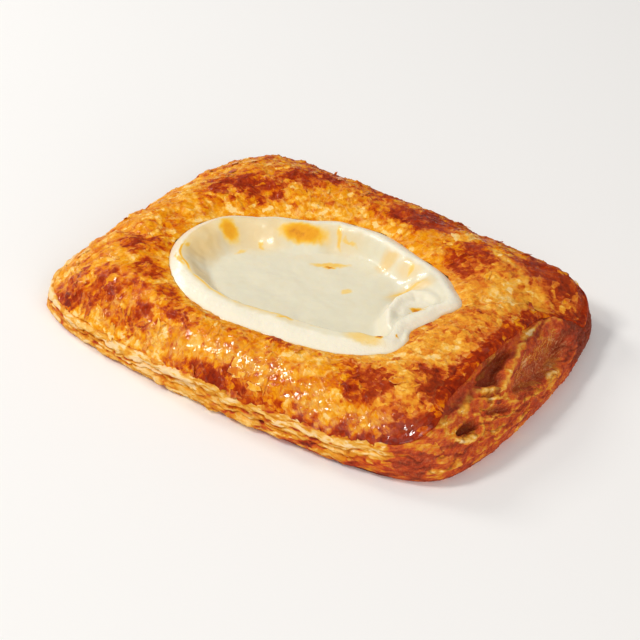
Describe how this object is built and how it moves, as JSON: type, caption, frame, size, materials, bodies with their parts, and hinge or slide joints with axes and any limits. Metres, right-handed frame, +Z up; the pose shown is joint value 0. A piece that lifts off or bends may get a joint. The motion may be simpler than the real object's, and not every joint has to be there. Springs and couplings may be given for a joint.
{
  "type": "cheese danish pastry",
  "caption": "Rectangular laminated danish pastry, golden brown and flaky, with an eye-shaped pool of baked cream cheese sunk in its top and puffed layers showing along its sides.",
  "frame": {"origin": "centre of the flat base", "axes": "+X along the length, towards the cut end that shows its layers; +Y across, towards the back edge; +Z up"},
  "size_m": [0.1195, 0.0848, 0.0178],
  "materials": {
    "baked_pastry": "flaky baked crust with an egg-wash sheen, golden to red-brown",
    "baked_cream_cheese": "smooth ivory baked cream with toasted golden spots"
  },
  "bodies": {
    "root": {"pastry": "baked_pastry", "filling": "baked_cream_cheese"}
  },
  "joints": []
}
